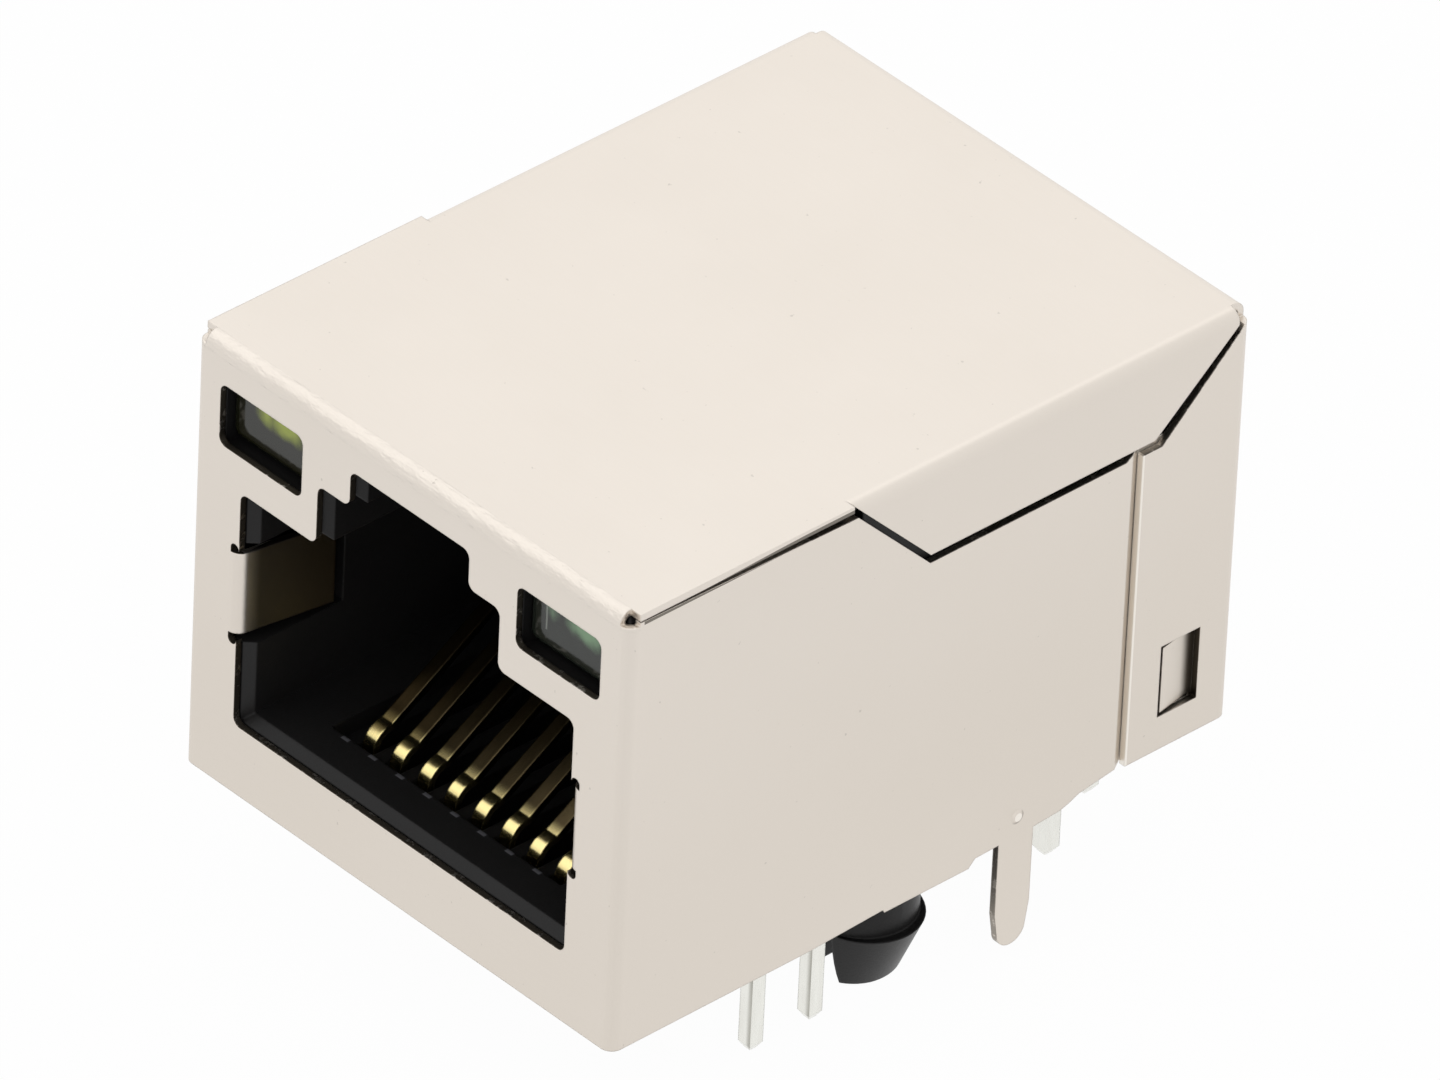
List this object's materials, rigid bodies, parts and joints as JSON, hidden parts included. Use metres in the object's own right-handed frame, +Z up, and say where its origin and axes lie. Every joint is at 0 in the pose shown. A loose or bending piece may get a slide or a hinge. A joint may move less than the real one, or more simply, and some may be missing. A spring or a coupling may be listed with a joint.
{
  "type": "shielded modular jack",
  "caption": "Shielded right-angle modular network jack for through-hole boards, with status lamps, solder tabs, snap-in pegs and built-in magnetics.",
  "frame": {"origin": "on the board's top surface, midway between the two locating pegs", "axes": "+Z up from the board; +Y towards the rear panel, so the plug goes in along +Y; +X to the right seen from the front"},
  "size_m": [0.016, 0.0209, 0.0167],
  "materials": {
    "shield_plate": "tin-plated sheet, satin",
    "housing_plastic": "moulded, fine matt",
    "insert_plastic": "moulded, matt",
    "board_laminate": "green solder mask",
    "contact_gold": "gold-plated, bright",
    "tinned_wire": "bright tin",
    "lamp_yellow": "tinted clear resin",
    "lamp_green": "tinted clear resin",
    "wound_core": "ferrite ring with enamelled wire",
    "chip_ceramic": "glazed chip",
    "capacitor_ceramic": "sintered, matt"
  },
  "bodies": {
    "root": {"shield": "shield_plate", "housing": "housing_plastic", "contact_carrier": "insert_plastic", "magnetics_tray": "insert_plastic", "circuit_board": "board_laminate", "contact_1": "contact_gold", "contact_2": "contact_gold", "contact_3": "contact_gold", "contact_4": "contact_gold", "contact_5": "contact_gold", "contact_6": "contact_gold", "contact_7": "contact_gold", "contact_8": "contact_gold", "signal_pin_1": "tinned_wire", "signal_pin_2": "tinned_wire", "signal_pin_3": "tinned_wire", "signal_pin_4": "tinned_wire", "signal_pin_5": "tinned_wire", "signal_pin_6": "tinned_wire", "signal_pin_7": "tinned_wire", "signal_pin_8": "tinned_wire", "signal_pin_9": "tinned_wire", "signal_pin_10": "tinned_wire", "lamp_left": "lamp_yellow", "lamp_right": "lamp_green", "lamp_lead_left_1": "tinned_wire", "lamp_lead_left_2": "tinned_wire", "lamp_lead_right_1": "tinned_wire", "lamp_lead_right_2": "tinned_wire", "transformer_1": "wound_core", "transformer_2": "wound_core", "transformer_3": "wound_core", "transformer_4": "wound_core", "choke_1": "wound_core", "choke_2": "wound_core", "choke_3": "wound_core", "choke_4": "wound_core", "resistor_1": "chip_ceramic", "resistor_2": "chip_ceramic", "resistor_3": "chip_ceramic", "resistor_4": "chip_ceramic", "line_capacitor": "capacitor_ceramic"}
  },
  "joints": []
}
